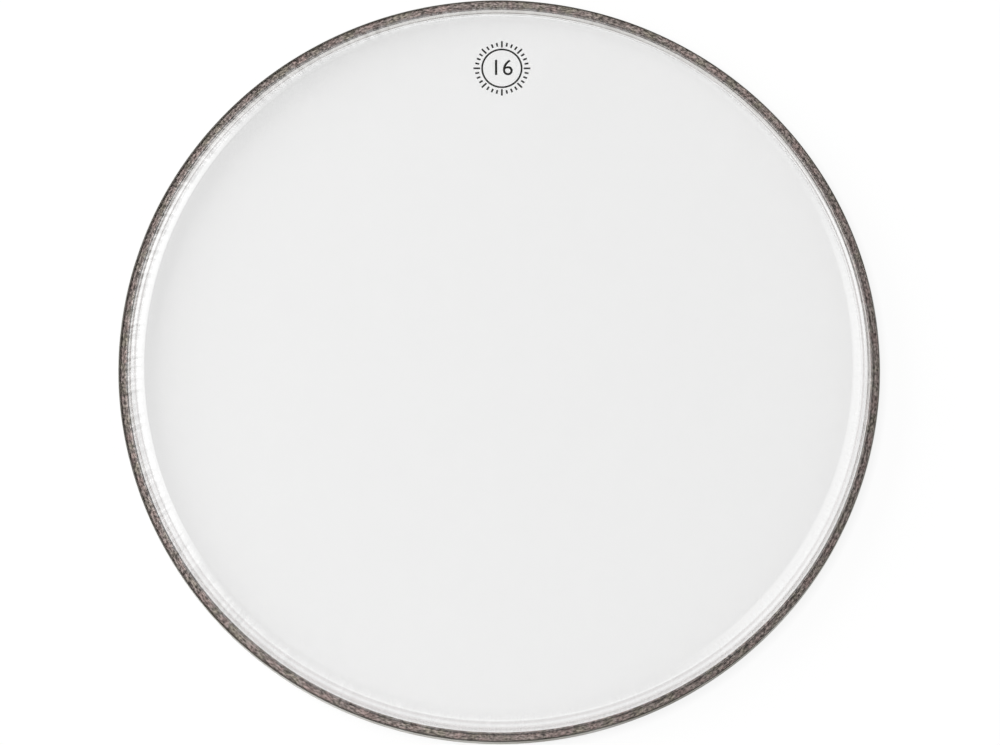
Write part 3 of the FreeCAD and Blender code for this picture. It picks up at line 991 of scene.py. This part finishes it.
def lay_floor(stage):
    """A sheet of paper under the hoop."""
    half = stage.floor_size / 2
    corners = [(-half, -half), (half, -half), (half, half), (-half, half)]
    mesh = bpy.data.meshes.new("paper_floor")
    mesh.from_pydata([(x, y, -stage.floor_gap) for x, y in corners], [], [(0, 1, 2, 3)])
    mesh.materials.append(white_paper(stage))
    floor = bpy.data.objects.new("paper_floor", mesh)
    bpy.context.scene.collection.objects.link(floor)


def light_room(scene, stage):
    """A dim room with pale walls, a soft panel, a white board, and the soft front of the lamp at the left."""
    horizon_range = {"From Min": 0.03, "From Max": 0.15, "To Min": 0.1, "To Max": 1.0}
    # Each patch of light has its middle, as azimuth and elevation in degrees, and the cosines of the angles
    # from there at which it starts and is full.
    patches = (
        {"middle": (0, -90), "start": -0.6, "full": -0.1, "strength": stage.walls},
        {"middle": (170, 60), "start": 0.8, "full": 0.95, "strength": stage.panel},
        {"middle": (355, 20), "start": 0.65, "full": 0.95, "strength": stage.reflector},
    )
    world = bpy.data.worlds.new("studio_room")
    world.use_nodes = True
    tree = world.node_tree
    tree.nodes.clear()
    gaze = add_node(tree, "ShaderNodeTexCoord").outputs["Generated"]
    brightness = stage.ceiling
    for patch in patches:
        aim = heading(*map(math.radians, patch["middle"]))
        nearness = add_node(
            tree, "ShaderNodeVectorMath", {0: gaze, 1: aim}, operation="DOT_PRODUCT").outputs["Value"]
        light = add_node(tree, "ShaderNodeMapRange", {
            "Value": nearness,
            "From Min": patch["start"],
            "From Max": patch["full"],
            "To Max": patch["strength"],
        }, interpolation_type="SMOOTHSTEP")
        brightness = add_node(tree, "ShaderNodeMath", {0: brightness, 1: light}, operation="ADD")
    height = add_node(tree, "ShaderNodeSeparateXYZ", {"Vector": gaze}).outputs["Z"]
    open_share = add_node(tree, "ShaderNodeMapRange", {"Value": height, **horizon_range})
    brightness = add_node(tree, "ShaderNodeMath", {0: brightness, 1: open_share}, operation="MULTIPLY")
    front = add_node(tree, "ShaderNodeMath", {
        0: soft_board(tree, gaze, stage), 1: stage.key_board}, operation="MULTIPLY")
    brightness = add_node(tree, "ShaderNodeMath", {0: brightness, 1: front}, operation="ADD")
    room = add_node(tree, "ShaderNodeBackground", {"Color": WHITE, "Strength": brightness})
    add_node(tree, "ShaderNodeOutputWorld", {"Surface": room})
    scene.world = world


def soft_board(tree, gaze, stage):
    """A node that is 1 towards the middle of the left lamp and falls to 0 past the lamp's soft edges."""
    soft_share = 0.5
    facing = heading(stage.key_azimuth, stage.lamp_elevation)
    sideways = heading(stage.key_azimuth + math.pi / 2, 0)
    depth = add_node(
        tree, "ShaderNodeVectorMath", {0: gaze, 1: facing}, operation="DOT_PRODUCT").outputs["Value"]
    share = add_node(tree, "ShaderNodeMath", {0: depth, 1: 0.0}, operation="GREATER_THAN")
    for axis, size in zip((sideways, facing.cross(sideways)), stage.lamp_size):
        reach = size / 2 / stage.lamp_distance
        off = add_node(
            tree, "ShaderNodeVectorMath", {0: gaze, 1: axis}, operation="DOT_PRODUCT").outputs["Value"]
        slant = add_node(tree, "ShaderNodeMath", {0: off, 1: depth}, operation="DIVIDE")
        slant = add_node(tree, "ShaderNodeMath", {0: slant}, operation="ABSOLUTE")
        edge = add_node(tree, "ShaderNodeMapRange", {
            "Value": slant,
            "From Min": reach * (1 - soft_share),
            "From Max": reach * (1 + soft_share),
            "To Min": 1.0,
            "To Max": 0.0,
        }, interpolation_type="SMOOTHSTEP")
        share = add_node(tree, "ShaderNodeMath", {0: share, 1: edge}, operation="MULTIPLY")
    return share


def set_lamps(scene, stage):
    """A large, low lamp at each side. Reflections show the room instead of them."""
    for name, azimuth, power in (
        ("key_lamp", stage.key_azimuth, stage.key_power),
        ("fill_lamp", stage.fill_azimuth, stage.fill_power),
    ):
        lamp = bpy.data.lights.new(name, "AREA")
        lamp.shape = "RECTANGLE"
        lamp.size, lamp.size_y = stage.lamp_size
        lamp.energy = power
        stand = point_from(scene, lamp, azimuth, stage.lamp_elevation, stage.lamp_distance, Vector((0, 0, 0)))
        stand.visible_glossy = False
        stand.visible_transmission = False


def heading(azimuth, elevation):
    """The unit vector in a direction."""
    level = math.cos(elevation)
    return Vector((level * math.cos(azimuth), level * math.sin(azimuth), math.sin(elevation)))


def point_from(scene, data, azimuth, elevation, distance, aim):
    """A lamp or camera in a direction from a point, facing that point."""
    away = heading(azimuth, elevation)
    item = bpy.data.objects.new(data.name, data)
    item.location = aim + away * distance
    item.rotation_euler = away.to_track_quat("Z", "Y").to_euler()
    scene.collection.objects.link(item)
    return item


def place_camera(scene, stage):
    """The camera stands in front and looks almost straight down."""
    lens = bpy.data.cameras.new("camera")
    lens.lens = stage.lens
    front = -math.pi / 2
    scene.camera = point_from(
        scene, lens, front, stage.camera_elevation, stage.camera_distance, Vector(stage.aim))


class VIEW3D_PT_drum_head(bpy.types.Panel):
    """Lists the drum head's pieces and their settings"""
    bl_label = "Drum head"
    bl_idname = "VIEW3D_PT_drum_head"
    bl_space_type = "VIEW_3D"
    bl_region_type = "UI"
    bl_category = "Drum head"

    def draw(self, context):
        settings = context.scene.drum_head
        for group, operator in STEPS:
            box = self.layout.box()
            box.operator(operator)
            part = getattr(settings, group)
            for name in part.bl_rna.properties.keys():
                if name not in ("rna_type", "name"):
                    box.prop(part, name)


STEPS = [
    ("hoop", "drumhead.roll_hoop"),
    ("resin", "drumhead.cast_resin"),
    ("film", "drumhead.form_films"),
    ("dial", "drumhead.print_dial"),
    ("stage", "drumhead.set_stage"),
]

CLASSES = [
    HoopSettings,
    ResinSettings,
    FilmSettings,
    DialSettings,
    StageSettings,
    DrumHeadSettings,
    DRUMHEAD_OT_roll_hoop,
    DRUMHEAD_OT_cast_resin,
    DRUMHEAD_OT_form_films,
    DRUMHEAD_OT_print_dial,
    DRUMHEAD_OT_set_stage,
    VIEW3D_PT_drum_head,
]


def register():
    """Registers the classes and hangs the settings on the scene."""
    for item in CLASSES:
        bpy.utils.register_class(item)
    bpy.types.Scene.drum_head = PointerProperty(type=DrumHeadSettings)


def unregister():
    """Takes back what register did."""
    del bpy.types.Scene.drum_head
    for item in reversed(CLASSES):
        bpy.utils.unregister_class(item)


def main():
    """Builds the drum head and its stage."""
    register()
    bpy.ops.drumhead.roll_hoop()
    bpy.ops.drumhead.cast_resin()
    bpy.ops.drumhead.form_films()
    bpy.ops.drumhead.print_dial()
    bpy.ops.drumhead.set_stage()


if __name__ == "__main__":
    main()
